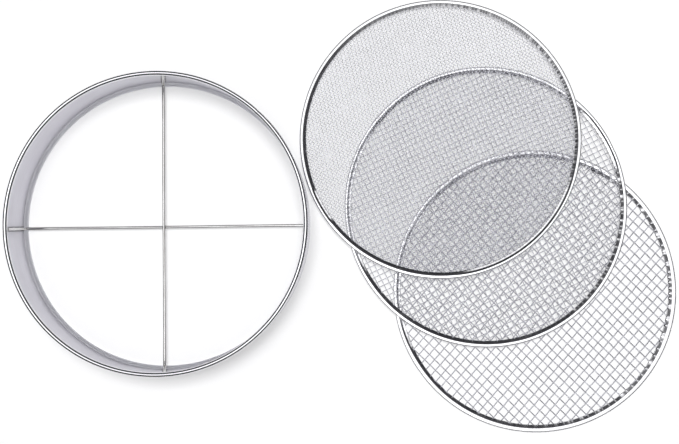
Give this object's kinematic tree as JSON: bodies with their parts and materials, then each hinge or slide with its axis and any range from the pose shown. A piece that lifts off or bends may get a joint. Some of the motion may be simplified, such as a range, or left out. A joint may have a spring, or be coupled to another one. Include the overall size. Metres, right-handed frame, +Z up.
{
  "type": "soil sieve",
  "caption": "Round soil sieve: an open steel hoop with rolled edges and a rod cross, beside interchangeable woven wire screens fanned in a leaning stack.",
  "frame": {"origin": "middle of the whole set's footprint, on the floor", "axes": "+Z up; +X from the empty hoop towards the stack of screens, along the set's longest side; +Y towards the fine screen's end of the fan"},
  "size_m": [0.6776, 0.4478, 0.065],
  "materials": {
    "hoop_steel": "bright rolled stainless sheet, satin inside, polished edge beads",
    "rod_steel": "drawn stainless rod",
    "rim_steel": "bright crimped stainless strip",
    "mesh_wire": "drawn stainless wire, plain weave"
  },
  "bodies": {
    "sieve_frame": {"hoop": "hoop_steel", "cross_rod_lower": "rod_steel", "cross_rod_upper": "rod_steel"},
    "coarse_screen": {"coarse_rim": "rim_steel", "coarse_warp_wires": "mesh_wire", "coarse_weft_wires": "mesh_wire"},
    "medium_screen": {"medium_rim": "rim_steel", "medium_warp_wires": "mesh_wire", "medium_weft_wires": "mesh_wire"},
    "fine_screen": {"fine_rim": "rim_steel", "fine_warp_wires": "mesh_wire", "fine_weft_wires": "mesh_wire"}
  },
  "joints": [
    {"name": "coarse_lift", "type": "slide", "parent": "sieve_frame", "child": "coarse_screen", "axis": [0, 0, 1], "range_m": [0, 0.08]},
    {"name": "medium_lift", "type": "slide", "parent": "coarse_screen", "child": "medium_screen", "axis": [0, 0, 1], "range_m": [0, 0.08]},
    {"name": "fine_lift", "type": "slide", "parent": "medium_screen", "child": "fine_screen", "axis": [0, 0, 1], "range_m": [0, 0.08]}
  ]
}
